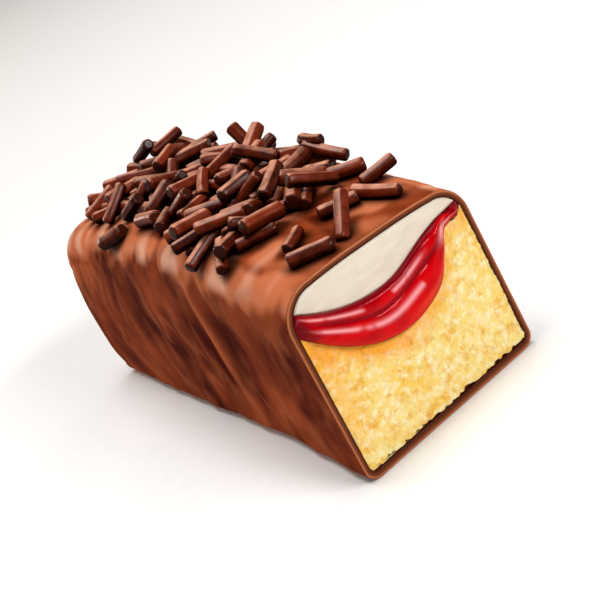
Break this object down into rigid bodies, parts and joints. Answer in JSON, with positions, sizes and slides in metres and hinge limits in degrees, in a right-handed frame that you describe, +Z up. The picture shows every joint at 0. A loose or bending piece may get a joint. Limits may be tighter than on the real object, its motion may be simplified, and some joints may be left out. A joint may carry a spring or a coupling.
{
  "type": "cream-filled snack cake",
  "caption": "Bar of sponge cake with a trough of jam and cream, coated in chocolate, strewn with chocolate strands and cut across at one end.",
  "frame": {"origin": "on the surface the cake lies on, under the middle of the bar's length and width", "axes": "+Z up, the bar lies along Y with its cut face towards -Y and its whole rounded end towards +Y, and X runs across it"},
  "size_m": [0.0396, 0.0992, 0.0453],
  "materials": {
    "chocolate": "milk chocolate coat with a soft sheen, and dark chocolate strands",
    "sponge": "yellow sponge crumb, matt and open-pored",
    "jam": "bright red jam gel, wet and glossy",
    "cream": "smooth off-white cream, faintly satin"
  },
  "bodies": {
    "root": {"chocolate_coating": "chocolate", "sponge_cake": "sponge", "jam_filling": "jam", "cream_filling": "cream"}
  },
  "joints": []
}
